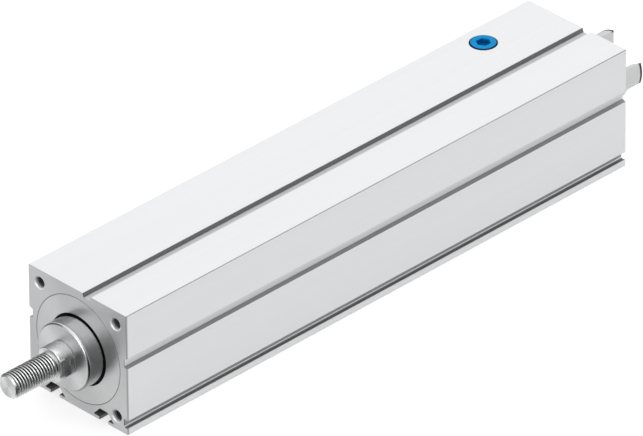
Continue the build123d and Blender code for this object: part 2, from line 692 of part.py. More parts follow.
# Rod end: shank in the rod, collar with two spanner flats, threaded stud
SPANNER_FRONT_X = ROD_PROUD + SPANNER_LENGTH
STUD_TIP_X = SPANNER_FRONT_X + STUD_LENGTH

with BuildPart() as rod_end:
    revolve(
        turned([
            (ROD_PROUD - SHANK_LENGTH, 0),
            (ROD_PROUD - SHANK_LENGTH, SHANK_R),
            (ROD_PROUD, SHANK_R),
            (ROD_PROUD, SPANNER_R),
            (SPANNER_FRONT_X - SPANNER_CHAMFER, SPANNER_R),
            (SPANNER_FRONT_X, SPANNER_R - SPANNER_CHAMFER),
            (SPANNER_FRONT_X, STUD_NECK_R),
            (SPANNER_FRONT_X + STUD_NECK_LENGTH, STUD_NECK_R),
            (SPANNER_FRONT_X + STUD_NECK_LENGTH, STUD_R),
            (STUD_TIP_X - STUD_TIP_CHAMFER, STUD_R),
            (STUD_TIP_X, STUD_R - STUD_TIP_CHAMFER),
            (STUD_TIP_X, 0),
        ]),
        axis=Axis.X,
    )
    with BuildSketch(cross_plane(SPANNER_FRONT_X)):
        Circle(2 * SPANNER_R)
        Rectangle(SPANNER_ACROSS_FLATS, 4 * SPANNER_R, mode=Mode.SUBTRACT)
    extrude(amount=-SPANNER_FLAT_LENGTH, mode=Mode.SUBTRACT)
save(rod_end, "rod_end")

# Piston: joins rod and ball nut, slides on two bands and is kept from turning by two shoes
NUT_FRONT_X = ROD_REAR_X - NUT_STOP_WALL
NUT_REAR_X = NUT_FRONT_X - NUT_LENGTH
BAND_OUTER_R = BORE_R - RUNNING_GAP
BAND_FLOOR_R = BAND_OUTER_R - BAND_THICKNESS
MAGNET_OUTER_R = PISTON_R - SEAT_GAP
MAGNET_FLOOR_R = MAGNET_OUTER_R - MAGNET_THICKNESS
BAND_X = [PISTON_FRONT_X - BAND_SET_BACK - BAND_WIDTH, PISTON_REAR_X + BAND_SET_BACK]
MAGNET_X = BAND_X[0] - BAND_SET_BACK - MAGNET_WIDTH
SHOE_X = (PISTON_FRONT_X + PISTON_REAR_X) / 2
SHOE_FLOOR_R = PISTON_R - SHOE_SEAT_DEPTH
SHOE_TOP_R = BORE_R + GUIDE_GROOVE_DEPTH - RUNNING_GAP

with BuildPart() as piston:
    revolve(
        turned([
            (PISTON_FRONT_X, ROD_R + SEAT_GAP),
            (PISTON_FRONT_X, PISTON_R),
            (PISTON_REAR_X, PISTON_R),
            (PISTON_REAR_X, LOCK_RING_R),
            (PISTON_REAR_X + LOCK_RING_LENGTH, LOCK_RING_R),
            (PISTON_REAR_X + LOCK_RING_LENGTH, NUT_R + SEAT_GAP),
            (NUT_FRONT_X, NUT_R + SEAT_GAP),
            (NUT_FRONT_X, ROD_BORE_R),
            (ROD_REAR_X, ROD_BORE_R),
            (ROD_REAR_X, ROD_R + SEAT_GAP),
        ]),
        axis=Axis.X,
    )
    for x in BAND_X:
        revolve(
            ring(x + BAND_WIDTH, x, BAND_FLOOR_R - SEAT_GAP, BORE_R),
            axis=Axis.X,
            mode=Mode.SUBTRACT,
        )
    revolve(
        ring(MAGNET_X + MAGNET_WIDTH, MAGNET_X, MAGNET_FLOOR_R - SEAT_GAP, BORE_R),
        axis=Axis.X,
        mode=Mode.SUBTRACT,
    )
    with Locations(cross_plane(SHOE_X)):
        with PolarLocations(SHOE_FLOOR_R, GUIDE_GROOVE_COUNT, start_angle=GUIDE_GROOVE_ANGLE):
            Box(
                2 * SHOE_SEAT_DEPTH,
                GUIDE_GROOVE_WIDTH,
                SHOE_LENGTH,
                align=(Align.MIN, Align.CENTER, Align.CENTER),
                mode=Mode.SUBTRACT,
            )
save(piston, "piston")

with BuildPart() as anti_twist_shoes:
    with Locations(cross_plane(SHOE_X)):
        with PolarLocations(SHOE_FLOOR_R + SEAT_GAP, GUIDE_GROOVE_COUNT, start_angle=GUIDE_GROOVE_ANGLE):
            Box(
                SHOE_TOP_R - SHOE_FLOOR_R - SEAT_GAP,
                GUIDE_GROOVE_WIDTH - 2 * RUNNING_GAP,
                SHOE_LENGTH - 2 * SEAT_GAP,
                align=(Align.MIN, Align.CENTER, Align.CENTER),
            )
save(anti_twist_shoes, "anti_twist_shoes")

with BuildPart() as piston_guide_bands:
    for x in BAND_X:
        revolve(ring(x + BAND_WIDTH - SEAT_GAP, x + SEAT_GAP, BAND_FLOOR_R, BAND_OUTER_R), axis=Axis.X)
save(piston_guide_bands, "piston_guide_bands")

with BuildPart() as piston_magnet:
    revolve(
        ring(MAGNET_X + MAGNET_WIDTH - SEAT_GAP, MAGNET_X + SEAT_GAP, MAGNET_FLOOR_R, MAGNET_OUTER_R),
        axis=Axis.X,
    )
save(piston_magnet, "piston_magnet")

# Ball nut with two return inserts, held in the piston by a slotted lock ring
NUT_BORE_R = SPINDLE_R + NUT_BORE_GAP
NUT_MID_X = (NUT_FRONT_X + NUT_REAR_X) / 2
INSERT_X = [NUT_MID_X + RETURN_INSERT_SPACING / 2, NUT_MID_X - RETURN_INSERT_SPACING / 2]

with BuildPart() as ball_nut:
    revolve(ring(NUT_FRONT_X - SEAT_GAP, NUT_REAR_X, NUT_BORE_R, NUT_R), axis=Axis.X)
    for x, side in zip(INSERT_X, (1, -1)):
        with BuildSketch(Plane.XY):
            with Locations((x, 0)):
                SlotOverall(RETURN_INSERT_LENGTH, RETURN_INSERT_WIDTH, rotation=RETURN_INSERT_TILT)
        extrude(amount=side * NUT_R, mode=Mode.SUBTRACT)
save(ball_nut, "ball_nut")

with BuildPart() as nut_return_inserts:
    for x, side in zip(INSERT_X, (1, -1)):
        with BuildSketch(Plane.XY.offset(side * NUT_BORE_R)):
            with Locations((x, 0)):
                SlotOverall(
                    RETURN_INSERT_LENGTH - 2 * SEAT_GAP,
                    RETURN_INSERT_WIDTH - 2 * SEAT_GAP,
                    rotation=RETURN_INSERT_TILT,
                )
        extrude(amount=side * (RETURN_INSERT_TOP_R - NUT_BORE_R))
save(nut_return_inserts, "nut_return_inserts")

with BuildPart() as nut_lock_ring:
    revolve(
        ring(
            PISTON_REAR_X + LOCK_RING_LENGTH - SEAT_GAP,
            PISTON_REAR_X,
            ROD_BORE_R,
            LOCK_RING_R - SEAT_GAP,
        ),
        axis=Axis.X,
    )
    with BuildSketch(cross_plane(PISTON_REAR_X)):
        with PolarLocations((ROD_BORE_R + LOCK_RING_R) / 2, 4):
            Rectangle(LOCK_RING_R, LOCK_RING_SLOT_WIDTH)
    extrude(amount=LOCK_RING_SLOT_DEPTH, mode=Mode.SUBTRACT)
save(nut_lock_ring, "nut_lock_ring")

# Lubrication port: screw plug with a hexagon socket on a flat seal
PORT_FLOOR_Z = HALF - PORT_SPOTFACE_DEPTH
PLUG_TOP_Z = HALF + PLUG_PROUD
PLUG_SEAT_Z = PORT_FLOOR_Z + PLUG_SEAL_THICKNESS

with BuildPart() as port_plug:
    with Locations((PORT_X, PORT_Y, PLUG_SEAT_Z)):
        Cylinder(PLUG_HEAD_R, PLUG_TOP_Z - PLUG_SEAT_Z, align=(Align.CENTER, Align.CENTER, Align.MIN))
        Cylinder(PORT_R - SEAT_GAP, PLUG_SHANK_LENGTH, align=(Align.CENTER, Align.CENTER, Align.MAX))
    chamfer(port_plug.faces().sort_by(Axis.Z)[-1].edges(), PLUG_HEAD_CHAMFER)
    with BuildSketch(Plane.XY.offset(PLUG_TOP_Z)):
        with Locations((PORT_X, PORT_Y)):
            RegularPolygon(PLUG_SOCKET_AF / 2, 6, major_radius=False)
    extrude(amount=-PLUG_SOCKET_DEPTH, mode=Mode.SUBTRACT)
save(port_plug, "port_plug")

with BuildPart() as port_plug_seal:
    with BuildSketch(Plane.XY.offset(PORT_FLOOR_Z + SEAT_GAP)):
        with Locations((PORT_X, PORT_Y)):
            Circle(PLUG_HEAD_R)
            Circle(PORT_R, mode=Mode.SUBTRACT)
    extrude(amount=PLUG_SEAL_THICKNESS - 2 * SEAT_GAP)
save(port_plug_seal, "port_plug_seal")
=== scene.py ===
import json
from math import cos, pi, radians, sin

import bmesh
import bpy
from mathutils import Euler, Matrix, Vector


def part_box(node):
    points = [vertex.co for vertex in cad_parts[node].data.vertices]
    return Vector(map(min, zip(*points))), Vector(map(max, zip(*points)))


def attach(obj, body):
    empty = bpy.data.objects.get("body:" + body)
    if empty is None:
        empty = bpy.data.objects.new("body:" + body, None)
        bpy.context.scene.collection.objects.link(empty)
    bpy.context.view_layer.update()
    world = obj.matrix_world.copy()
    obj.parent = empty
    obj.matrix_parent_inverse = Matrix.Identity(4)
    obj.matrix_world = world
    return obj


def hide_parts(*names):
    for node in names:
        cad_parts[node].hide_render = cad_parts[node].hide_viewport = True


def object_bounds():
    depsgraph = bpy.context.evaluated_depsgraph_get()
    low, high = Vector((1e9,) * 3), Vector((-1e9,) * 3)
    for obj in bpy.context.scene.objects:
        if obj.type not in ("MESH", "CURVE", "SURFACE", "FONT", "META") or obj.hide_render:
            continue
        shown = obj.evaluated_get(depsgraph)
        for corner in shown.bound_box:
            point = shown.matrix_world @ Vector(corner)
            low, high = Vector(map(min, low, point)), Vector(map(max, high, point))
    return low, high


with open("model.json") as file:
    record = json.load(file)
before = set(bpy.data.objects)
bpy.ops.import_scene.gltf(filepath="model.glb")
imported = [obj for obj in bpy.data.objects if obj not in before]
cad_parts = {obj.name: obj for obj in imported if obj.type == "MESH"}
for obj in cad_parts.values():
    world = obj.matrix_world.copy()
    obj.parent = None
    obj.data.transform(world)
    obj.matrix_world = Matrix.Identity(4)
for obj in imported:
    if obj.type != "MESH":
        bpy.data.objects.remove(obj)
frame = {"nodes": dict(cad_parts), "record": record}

CAD_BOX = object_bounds()

# Measures repeated from the construction, in metres
MM = 0.001
HOUSING_SIZE = 60 * MM
REAR_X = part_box("profile_housing")[0][0]
HALF = HOUSING_SIZE / 2
ROD_FACE_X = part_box("piston_rod")[1][0]
STUD_TIP_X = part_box("rod_end")[1][0]

# Rod end: collar with spanner flats and an M12 x 1.5 stud
SHANK_R = 5 * MM
SHANK_REAR_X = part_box("rod_end")[0][0]
SPANNER_R = 8.1 * MM
SPANNER_LENGTH = 8.0 * MM
SPANNER_FLAT_LENGTH = 6.6 * MM
SPANNER_HALF_FLATS = 6.4 * MM
SPANNER_CHAMFER = 0.3 * MM
COLLAR_RELIEF = 0.35 * MM
THREAD_R = 6 * MM
THREAD_PITCH = 1.5 * MM
THREAD_DEPTH = 0.92 * MM
THREAD_RUNOUT_TURNS = 2.2
THREAD_RUNOUT_POWER = 0.7
THREAD_LEAST_DEPTH = 0.2
THREAD_TIP_CHAMFER = 1.1 * MM
THREAD_STEPS = 14
ROD_END_SEGMENTS = 96
SHARP_ANGLE = radians(28)
COLLAR_FRONT_X = ROD_FACE_X + SPANNER_LENGTH

# Joint between the front cap and the housing
CAP_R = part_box("front_cap")[1][1]
CAP_JOINT = 0.25 * MM

# Corner holes: M6 thread
HOLE_OFFSET = 23.25 * MM
HOLE_PITCH = 1.0 * MM
HOLE_DRILL_R = 2.5 * MM
HOLE_MOUTH_R = 3.3 * MM

# Screw plug in the top face
PLUG_FACE_R = 5.7 * MM

# Painted light and shade: share of the light that the profile's recesses, edges and cap joint keep;
# END_FACE_TONE darkens the milled end faces
TOP_WALL_TONE = 0.21
TOP_FLOOR_TONE = 0.72
SIDE_WALL_TONE = 0.33
SIDE_FLOOR_TONE = 0.96
HOOK_GROOVE_TOP = -20 * MM
HOOK_FLOOR_TONE = 0.54
HOOK_SLOPE_TONE = 1.12
HOOK_SLOPE_FOOT = -26.66 * MM
HOOK_LIP_TONES = (0.2, 0.45)
CHAMBER_TONE = 0.25
EDGE_TONE = 0.5
FRONT_EDGE_TONE = 0.5
END_FACE_TONE = 0.74
END_EDGE_TONE = 0.72
CAP_JOINT_TONE = 0.5

# Light and shade painted on the turned parts
THREAD_ROOTS = (5.45 * MM, 5.98 * MM)
ROOT_SHADE_COLOURS = ((0.5, 0.5, 0.51), (0.03, 0.03, 0.032))
ROOT_HEIGHTS = (-4 * MM, 6 * MM)
THREAD_DIFFUSE_SHARE = 0.3
THREAD_DIFFUSE_HEIGHTS = (-3 * MM, 1 * MM)
TIP_FAN_ANGLE = radians(245)
TIP_FAN_SHARE = 0.32
TIP_FAN_REFLECTION_COLOUR = (0.35, 0.35, 0.36)
NOSE_LOW_ANGLES = (radians(5), radians(25))
NOSE_LOW_SHADE_COLOUR = (0.27, 0.27, 0.275)
JOINT_SHADE_COLOUR = (0.22, 0.22, 0.225)

# Camera fitted to the photograph, with the photograph's width in pixels
PHOTO_WIDTH = 643
FOCAL_PIXELS = 11855
SENSOR_MM = 36
CAMERA_PLACE = (2.90633, 3.09662, 2.74305)
CAMERA_TURN = (57.7602, 0.3326, 135.2018)

# Lamps: place, size, watts
LAMP_TARGET = (-0.15, 0, 0)
KEY_LAMP = ((-0.6, 0.2, 1.6), (1.6, 1.2), 3.3)
SIDE_LAMP = ((-0.4, 1.6, 0.5), (1.4, 1.0), 2.8)

# Floor: the camera sees a dimmer sheet that glows, so that it is white and keeps the shadow
FLOOR_REACH = 4.0
FLOOR_GAP = 0.02 * MM
FLOOR_COLOUR = (0.82, 0.82, 0.82, 1)
FLOOR_SEEN_COLOUR = (0.50, 0.50, 0.50, 1)
FLOOR_GLOW = 0.67


# Camera, floor and light

def make_camera():
    data = bpy.data.cameras.new("camera")
    data.sensor_width = SENSOR_MM
    data.lens = SENSOR_MM * FOCAL_PIXELS / PHOTO_WIDTH
    data.clip_end = 50
    camera = bpy.data.objects.new("camera", data)
    camera.location = CAMERA_PLACE
    camera.rotation_euler = Euler([radians(a) for a in CAMERA_TURN], "XYZ")
    bpy.context.scene.collection.objects.link(camera)
    bpy.context.scene.camera = camera


class Nodes:
    """Short hand for building one node tree."""

    def __init__(self, tree):
        self.tree = tree
        tree.nodes.clear()

    def add(self, kind, **inputs):
        node = self.tree.nodes.new(kind)
        for name, value in inputs.items():
            self.put(node, name, value)
        return node

    def put(self, node, name, value):
        key = name.replace("_", " ") if isinstance(name, str) else name
        if isinstance(value, bpy.types.NodeSocket):
            self.tree.links.new(value, node.inputs[key])
        else:
            node.inputs[key].default_value = value

    def math(self, operation, a, b=0.0):
        node = self.tree.nodes.new("ShaderNodeMath")
        node.operation = operation
        self.put(node, 0, a)
        self.put(node, 1, b)
        return node.outputs[0]

    def ramp(self, value, low, high, out_low=0.0, out_high=1.0, smooth=False):
        node = self.tree.nodes.new("ShaderNodeMapRange")
        node.interpolation_type = "SMOOTHSTEP" if smooth else "LINEAR"
        self.put(node, "Value", value)
        for name, limit in (("From Min", low), ("From Max", high), ("To Min", out_low), ("To Max", out_high)):
            self.put(node, name, limit)
        return node.outputs[0]

    def mix_colour(self, factor, a, b):
        node = self.tree.nodes.new("ShaderNodeMix")
        node.data_type = "RGBA"
        self.put(node, 0, factor)
        for index, colour in ((6, a), (7, b)):
            self.put(node, index, colour if isinstance(colour, bpy.types.NodeSocket) else (*colour, 1.0))
        return node.outputs[2]

    def noise(self, vector, scale, detail=3.0, roughness=0.5):
        node = self.add("ShaderNodeTexNoise", Vector=vector, Scale=scale, Detail=detail, Roughness=roughness)
        return node.outputs[0]

    def vector(self, operation, a, b, output=0):
        node = self.tree.nodes.new("ShaderNodeVectorMath")
        node.operation = operation
        self.put(node, 0, a)
        self.put(node, 1, b)
        return node.outputs[output]

    def stretched(self, vector, scale):
        return self.vector("MULTIPLY", vector, scale)

    def both(self, a, b):
        return self.math("MULTIPLY", a, b)

    def inverse(self, value):
        """One minus the value."""
        return self.math("SUBTRACT", 1.0, value)

    def absolute(self, vector):
        return self.vector("ABSOLUTE", vector, vector)

    def distance(self, a, b):
        """Length of two components at right angles."""
        return self.math("SQRT", self.math("ADD", self.both(a, a), self.both(b, b)))

    def axes(self, vector, names):
        """The named components of a vector."""
        split = self.add("ShaderNodeSeparateXYZ", Vector=vector)
        return [split.outputs[name] for name in names]

    def blend(self, factor, a, b):
        """Number between a and b."""
        return self.math("ADD", self.math("MULTIPLY", factor, self.math("SUBTRACT", b, a)), a)


# Studio surround: light by height, then dark patches and a soft box, each with its direction, the cosines of
# its rim and core, and the light in its core
GROUND_LEVEL = 1.0
SKIRT_LEVEL = 0.76
SIDE_LEVEL = 0.81
SKY_LEVEL = 0.97
PATCHES = {
    "dark_right": ((0.605, 0.76, -0.24), 0.42, 0.80, 0.02),
    "dark_left": ((0.405, -0.902, 0.15), 0.78, 0.93, 0.12),
    "dark_side": ((0.1, 0.99, -0.05), 0.85, 0.95, 0.3),
}
SOFT_BOX = ((0.9455, 0.2033, 0.2542), 0.92, 0.96, 2.4)


def make_world():
    """Soft studio surround for metal to mirror, and plain white behind the object."""
    world = bpy.data.worlds.new("studio")
    bpy.context.scene.world = world
    world.use_nodes = True
    n = Nodes(world.node_tree)
    direction = n.add("ShaderNodeTexCoord").outputs["Generated"]
    height = n.add("ShaderNodeSeparateXYZ", Vector=direction).outputs["Z"]
    skirt = n.ramp(height, -0.5, 0.0, SKIRT_LEVEL, SIDE_LEVEL, True)
    ground = n.ramp(height, -0.8, -0.55, GROUND_LEVEL - SKIRT_LEVEL, 0.0, True)
    sky = n.ramp(height, 0.0, 0.8, 0.0, SKY_LEVEL - SIDE_LEVEL, True)
    level = n.math("ADD", skirt, n.math("ADD", ground, sky))
    for towards, rim, core, light_left in PATCHES.values():
        facing = n.vector("DOT_PRODUCT", direction, towards, "Value")
        level = n.both(level, n.ramp(facing, rim, core, 1.0, light_left, True))
    towards, rim, core, light_added = SOFT_BOX
    facing = n.vector("DOT_PRODUCT", direction, towards, "Value")
    level = n.math("ADD", level, n.ramp(facing, rim, core, 0.0, light_added, True))
    light = n.add("ShaderNodeBackground", Color=(1, 1, 1, 1), Strength=level)
    white = n.add("ShaderNodeBackground", Color=(1, 1, 1, 1), Strength=1.0)
    camera_ray = n.add("ShaderNodeLightPath").outputs["Is Camera Ray"]
    both = n.add("ShaderNodeMixShader")
    n.put(both, 0, camera_ray)
    n.put(both, 1, light.outputs[0])
    n.put(both, 2, white.outputs[0])
    n.add("ShaderNodeOutputWorld", Surface=both.outputs[0])


def make_area(name, place, size, power):
    data = bpy.data.lights.new(name, "AREA")
    data.shape = "RECTANGLE"
    data.size, data.size_y = size
    data.energy = power
    lamp = bpy.data.objects.new(name, data)
    lamp.location = place
    lamp.rotation_euler = (Vector(LAMP_TARGET) - Vector(place)).to_track_quat("-Z", "Y").to_euler()
    bpy.context.scene.collection.objects.link(lamp)
    return lamp


def make_floor():
    """White sheet under the object: it keeps a faint shadow, and mirrors see past it to the surround."""
    floor_z = CAD_BOX[0][2] - FLOOR_GAP
    mesh = bpy.data.meshes.new("floor")
    corners = [(FLOOR_REACH * x, FLOOR_REACH * y, floor_z) for x, y in ((-1, -1), (1, -1), (1, 1), (-1, 1))]
    mesh.from_pydata(corners, [], [(0, 1, 2, 3)])
    floor = bpy.data.objects.new("floor", mesh)
    bpy.context.scene.collection.objects.link(floor)
    material = bpy.data.materials.new("floor")
    material.use_nodes = True
    n = Nodes(material.node_tree)
    plain = n.add("ShaderNodeBsdfDiffuse", Color=FLOOR_COLOUR)
    shade = n.add("ShaderNodeBsdfDiffuse", Color=FLOOR_SEEN_COLOUR)
    glow = n.add("ShaderNodeEmission", Color=(1, 1, 1, 1), Strength=FLOOR_GLOW)
    seen = n.add("ShaderNodeAddShader")
    n.put(seen, 0, shade.outputs[0])
    n.put(seen, 1, glow.outputs[0])
    both = n.add("ShaderNodeMixShader")
    n.put(both, 0, n.add("ShaderNodeLightPath").outputs["Is Camera Ray"])
    n.put(both, 1, plain.outputs[0])
    n.put(both, 2, seen.outputs[0])
    n.add("ShaderNodeOutputMaterial", Surface=both.outputs[0])
    mesh.materials.append(material)
    floor.visible_glossy = False


# Materials

def start_material(name):
    material = bpy.data.materials.new(name)
    material.use_nodes = True
    n = Nodes(material.node_tree)
    place = n.add("ShaderNodeTexCoord").outputs["Object"]
    shader = n.add("ShaderNodeBsdfPrincipled")
    n.add("ShaderNodeOutputMaterial", Surface=shader.outputs[0])
    return material, n, place, shader


def bump(n, shader, height, strength, distance, edge=0.0):
    """Surface relief, over rounded edges where edge gives their radius."""
    node = n.add("ShaderNodeBump", Height=height, Strength=strength, Distance=distance)
    if edge:
        round_edge = n.add("ShaderNodeBevel", Radius=edge)
        round_edge.samples = 4
        n.put(node, "Normal", round_edge.outputs[0])
    n.put(shader, "Normal", node.outputs[0])


def radial_tangent(n):
    """Direction of the turning marks round the rod's axis."""
    tangent = n.add("ShaderNodeTangent")
    tangent.direction_type = "RADIAL"
    tangent.axis = "X"
    return tangent.outputs[0]


def axis_distance(n, place):
    """Distance from the rod's axis."""
    across, up = n.axes(place, "YZ")
    return n.distance(across, up)


def painted_shade_by_place(n, place, normal):
    """Painted share of light at a point by its place: open faces 1, groove floors less, walls little, T-slots
    and edges darker.
    """
    along, height = n.axes(place, "XZ")
    across, up = n.axes(n.absolute(place), "YZ")
    n_across, n_up = n.axes(n.absolute(normal), "YZ")
    depth = n.math("SUBTRACT", HALF, n.math("MAXIMUM", across, up))
    upright = n.math("GREATER_THAN", up, across)
    facing = n.blend(upright, n_across, n_up)
    inside = n.ramp(depth, 0.03 * MM, 0.12 * MM)
    wall = n.blend(upright, SIDE_WALL_TONE, TOP_WALL_TONE)
    shade = n.blend(n.ramp(facing, 0.6, 0.9), wall, n.blend(upright, SIDE_FLOOR_TONE, TOP_FLOOR_TONE))
    # Low grooves, painted light and shade: dim floor, narrow lit slope at its foot, dark lip
    hook = n.both(n.math("LESS_THAN", height, HOOK_GROOVE_TOP), n.inverse(upright))
    above_foot = n.ramp(height, HOOK_SLOPE_FOOT - 0.05 * MM, HOOK_SLOPE_FOOT + 0.05 * MM)
    lit = n.both(n.ramp(n_across, 0.4, 0.5), above_foot)
    lip = n.ramp(across, HALF - 1 * MM, HALF - 0.1 * MM, *HOOK_LIP_TONES)
    sloped = n.blend(lit, lip, HOOK_SLOPE_TONE)
    shade = n.blend(hook, shade, n.blend(n.ramp(n_across, 0.85, 0.95), sloped, HOOK_FLOOR_TONE))
    # Painted shade in the T-slots in the underside
    shade = n.blend(n.both(upright, n.math("LESS_THAN", height, 0.0)), shade, CHAMBER_TONE)
    # Painted shade along the long rounded edges and along the front edge of the sides
    corner = n.ramp(n.math("MINIMUM", across, up), HALF - 0.45 * MM, HALF - 0.25 * MM, 1.0, EDGE_TONE)
    side = n.ramp(n_across, 0.9, 0.95)
    front = n.ramp(along, -0.7 * MM, -0.45 * MM, 1.0, n.blend(side, 1.0, FRONT_EDGE_TONE))
    return n.both(n.both(n.blend(inside, 1.0, shade), corner), front)


def painted_hole_light(n, place):
    """Mask round the tapped holes, and painted light in them: on their countersinks, their lower side, their
    lead-in and their spiral thread.
    """
    along, across, up = n.axes(place, "XYZ")
    hole_y = n.math("SUBTRACT", across, n.both(n.math("SIGN", across), HOLE_OFFSET))
    hole_z = n.math("SUBTRACT", up, n.both(n.math("SIGN", up), HOLE_OFFSET))
    radius = n.distance(hole_y, hole_z)
    near = n.ramp(radius, HOLE_MOUTH_R + 0.05 * MM, HOLE_MOUTH_R + 0.1 * MM, 1.0, 0.0)
    chamfer = n.ramp(radius, HOLE_DRILL_R + 0.1 * MM, HOLE_DRILL_R + 0.3 * MM, 0.5, 1.12)
    turn = n.math("DIVIDE", n.math("ARCTAN2", hole_z, hole_y), 2 * pi)
    phase = n.math("ADD", n.math("DIVIDE", along, HOLE_PITCH), turn)
    from_rear = n.math("ABSOLUTE", n.math("SUBTRACT", along, REAR_X))
    depth = n.math("MINIMUM", n.math("ABSOLUTE", along), from_rear)
    crest = n.ramp(n.math("PINGPONG", phase, 0.5), 0.15, 0.35)
    ridge = n.both(crest, n.ramp(depth, 1 * MM, 5 * MM, 0.4, 0.05))
    lead_in = n.ramp(depth, 1.1 * MM, 1.9 * MM, 1.15, 0.0)
    low = n.ramp(hole_z, -1.5 * MM, 1.5 * MM, 1.02, 0.5)
    return near, n.both(low, chamfer), n.math("MAXIMUM", ridge, n.both(low, lead_in))


def anodised_extrusion():
    """Clear anodised profile: faint drawing lines, milled ends, painted shade in the grooves, T-slots, along
    the edges and at the cap joint, painted light and shade in the threaded corner holes.
    """
    material, n, place, shader = start_material("anodised_extrusion")
    normal = n.add("ShaderNodeNewGeometry").outputs["True Normal"]
    n_along = n.axes(n.absolute(normal), "X")[0]
    end_face = n.ramp(n_along, 0.9, 0.95)
    cone = n.ramp(n_along, 0.3, 0.5)
    lines = n.noise(n.stretched(place, (3, 900, 900)), 1.0, 4, 0.65)
    broad = n.noise(n.stretched(place, (1.5, 60, 60)), 1.0, 2)
    grain = n.noise(place, 6000, 2, 0.6)
    milled = n.noise(n.stretched(place, (1, 160, 2600)), 1.0, 3, 0.6)
    drawn = n.math("ADD", n.ramp(lines, 0.3, 0.7, -0.5, 0.5), n.ramp(broad, 0.3, 0.7, -0.5, 0.5))
    shade = n.blend(end_face, n.ramp(drawn, -0.8, 0.8), n.ramp(milled, 0.3, 0.7))
    colour = n.mix_colour(shade, (0.845, 0.852, 0.862), (0.88, 0.886, 0.895))
    near_hole, chamfer, ridge = painted_hole_light(n, place)
    # Darker milled end faces, with painted shade along their +y edge and at the cap joint
    margin = n.ramp(n.axes(place, "Y")[0], HALF - 0.7 * MM, HALF - 0.45 * MM, END_FACE_TONE,
                    END_FACE_TONE * END_EDGE_TONE)
    joint = n.ramp(axis_distance(n, place), CAP_R + 0.5 * CAP_JOINT, CAP_R + CAP_JOINT, CAP_JOINT_TONE, 1.0)
    tone = n.blend(end_face, painted_shade_by_place(n, place, normal), n.both(margin, joint))
    # Painted light on the countersinks, painted shade in the holes with painted light on their thread ridges
    tone = n.blend(n.both(n.math("SUBTRACT", cone, end_face), near_hole), tone, chamfer)
    tone = n.blend(n.both(n.inverse(cone), near_hole), tone, n.blend(ridge, 0.02, 1.0))
    grey = n.add("ShaderNodeCombineXYZ", X=tone, Y=tone, Z=tone).outputs[0]
    n.put(shader, "Base Color", n.vector("MULTIPLY", colour, grey))
    n.put(shader, "Metallic", n.blend(end_face, 0.25, 0.8))
    drawn_rough = n.ramp(lines, 0.3, 0.7, 0.40, 0.47)
    milled_rough = n.ramp(milled, 0.3, 0.7, 0.30, 0.36)
    n.put(shader, "Roughness", n.blend(cone, drawn_rough, milled_rough))
    n.put(shader, "Anisotropic", n.math("MULTIPLY", cone, 0.8))
    n.put(shader, "Tangent", radial_tangent(n))
    height = n.math("ADD", n.blend(end_face, lines, milled), n.math("MULTIPLY", grain, 0.6))
    bump(n, shader, height, 0.10, 0.02 * MM, 0.2 * MM)
    return material


def shade_thread(n, place, end_face, colour):
    """Colour and diffuse share of the stud: painted shade in the thread roots, less of it and more diffuse
    metal underneath, and a painted fan of reflected light on the tip.
    """
    along, across, up = n.axes(place, "XYZ")
    on_thread = n.both(n.math("GREATER_THAN", along, COLLAR_FRONT_X),
                       n.math("LESS_THAN", along, STUD_TIP_X - THREAD_TIP_CHAMFER))
    depth = n.both(on_thread, n.ramp(n.distance(across, up), *THREAD_ROOTS, 1.0, 0.0, True))
    root = n.mix_colour(n.ramp(up, *ROOT_HEIGHTS), *ROOT_SHADE_COLOURS)
    colour = n.mix_colour(n.both(depth, n.inverse(end_face)), colour, root)
    turn = n.math("SUBTRACT", n.math("ARCTAN2", up, across), TIP_FAN_ANGLE)
    fan = n.ramp(n.math("COSINE", n.math("MULTIPLY", turn, 2.0)), 0.0, 1.0)
    on_tip = n.both(end_face, n.math("GREATER_THAN", along, STUD_TIP_X - 0.1 * MM))
    colour = n.mix_colour(n.both(on_tip, n.math("MULTIPLY", fan, TIP_FAN_SHARE)), colour, TIP_FAN_REFLECTION_COLOUR)
    return colour, n.both(on_thread, n.ramp(up, *THREAD_DIFFUSE_HEIGHTS, THREAD_DIFFUSE_SHARE, 0.0))


def shade_nose(n, place, n_along, end_face, colour):
    """Rod's nose with painted shade on the low side of its rounding."""
    across, up = n.axes(place, "YZ")
    rounding = n.both(n.ramp(n_along, 0.1, 0.2), n.inverse(end_face))
    low_side = n.ramp(n.math("ARCTAN2", up, across), *NOSE_LOW_ANGLES, 1.0, 0.0)
    return n.mix_colour(n.both(rounding, low_side), colour, NOSE_LOW_SHADE_COLOUR)


